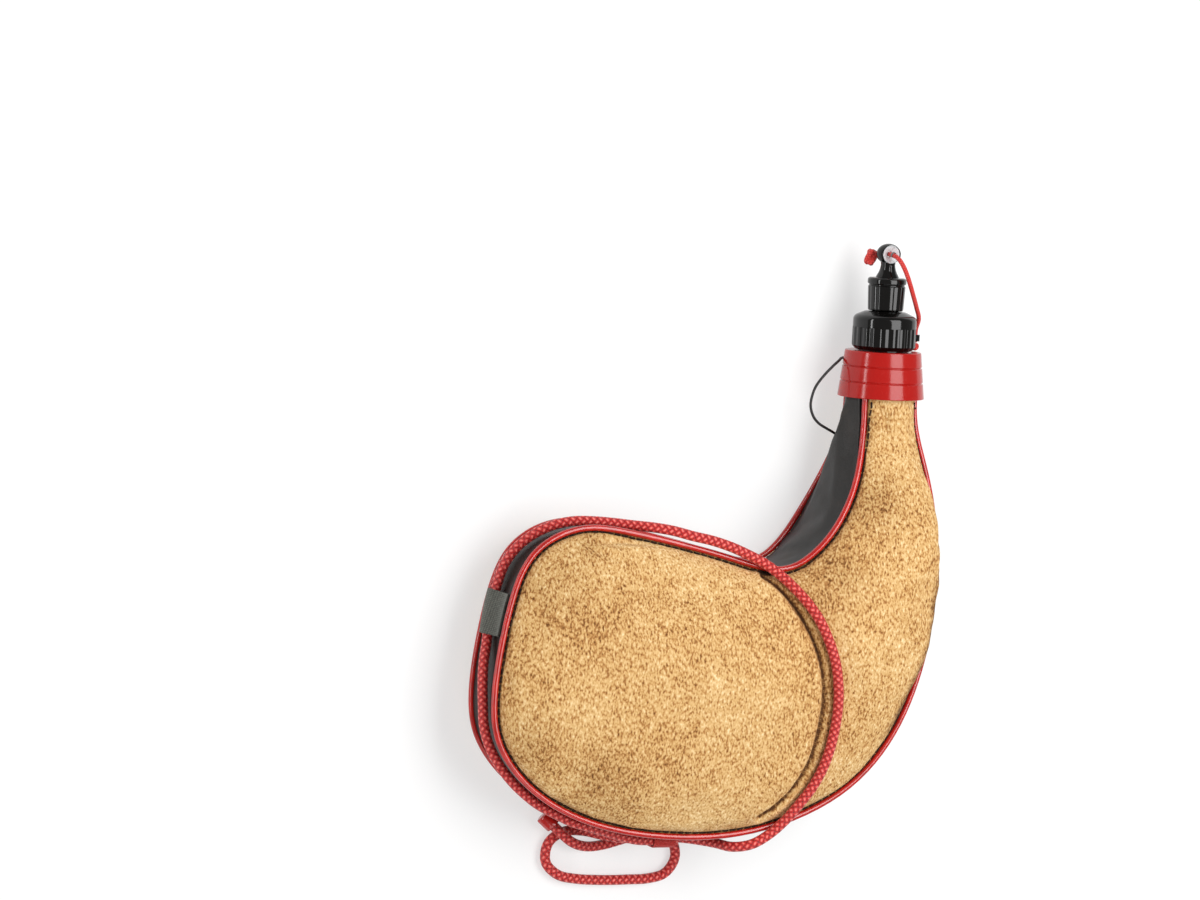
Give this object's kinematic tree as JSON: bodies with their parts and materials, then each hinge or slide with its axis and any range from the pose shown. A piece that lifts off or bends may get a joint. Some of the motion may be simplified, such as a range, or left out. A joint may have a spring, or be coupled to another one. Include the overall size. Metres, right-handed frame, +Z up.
{
  "type": "leather bota bag",
  "caption": "Curved suede drinking bag with a dark gusset, red piping and carry cord, and a ribbed neck fitting with a filler cap and a stopper that unscrew and lift off.",
  "frame": {"origin": "on the flat rest face of the back panel, under the middle of the round body", "axes": "+Z up out of the front panel, +Y along the neck towards the caps, +X across the body towards the neck's side"},
  "size_m": [0.2462, 0.3357, 0.0704],
  "materials": {
    "suede": "napped suede, matt",
    "gusset_leather": "smooth grain, semi-matt",
    "piping_plastic": "glossy",
    "liner_rubber": "matt",
    "collar_plastic": "glossy",
    "black_plastic": "glossy",
    "binding_thread": "waxed thread",
    "gasket_rubber": "matt",
    "spout_plastic": "smooth",
    "cord_braid": "braided",
    "webbing": "woven band",
    "elastic_cord": "covered elastic"
  },
  "bodies": {
    "bag": {"front_panel": "suede", "back_panel": "suede", "gusset_inner": "gusset_leather", "gusset_outer": "gusset_leather", "front_piping": "piping_plastic", "back_piping": "piping_plastic", "liner": "liner_rubber", "neck_binding": "binding_thread", "collar": "collar_plastic", "throat": "black_plastic", "cord_keeper": "webbing", "cord_anchor": "gusset_leather", "carry_cord_ring": "cord_braid", "carry_cord_tail": "cord_braid", "cord_whipping": "cord_braid", "neck_loop": "elastic_cord"},
    "filler_gasket": {"filler_gasket": "gasket_rubber"},
    "filler_cap": {"filler_cap": "black_plastic", "spout_tip": "spout_plastic", "tether": "cord_braid", "tether_end_knot": "cord_braid"},
    "stopper_seal": {"stopper_seal": "gasket_rubber"},
    "stopper_cap": {"stopper_cap": "black_plastic", "tether_knot": "cord_braid"}
  },
  "joints": [
    {"name": "filler_lift", "type": "slide", "parent": "bag", "child": "filler_gasket", "axis": [0, 1, 0], "range_m": [0, 0.06]},
    {"name": "filler_turn", "type": "hinge", "parent": "filler_gasket", "child": "filler_cap", "pos_m": [0.12504, 0.15006, 0.027], "axis": [0, 1, 0], "range_deg": [0, 720]},
    {"name": "stopper_lift", "type": "slide", "parent": "filler_cap", "child": "stopper_seal", "axis": [0, 1, 0], "range_m": [0, 0.022], "deforming": ["tether"]},
    {"name": "stopper_turn", "type": "hinge", "parent": "stopper_seal", "child": "stopper_cap", "pos_m": [0.12504, 0.15006, 0.027], "axis": [0, 1, 0], "range_deg": [0, 720], "deforming": ["tether"]}
  ]
}
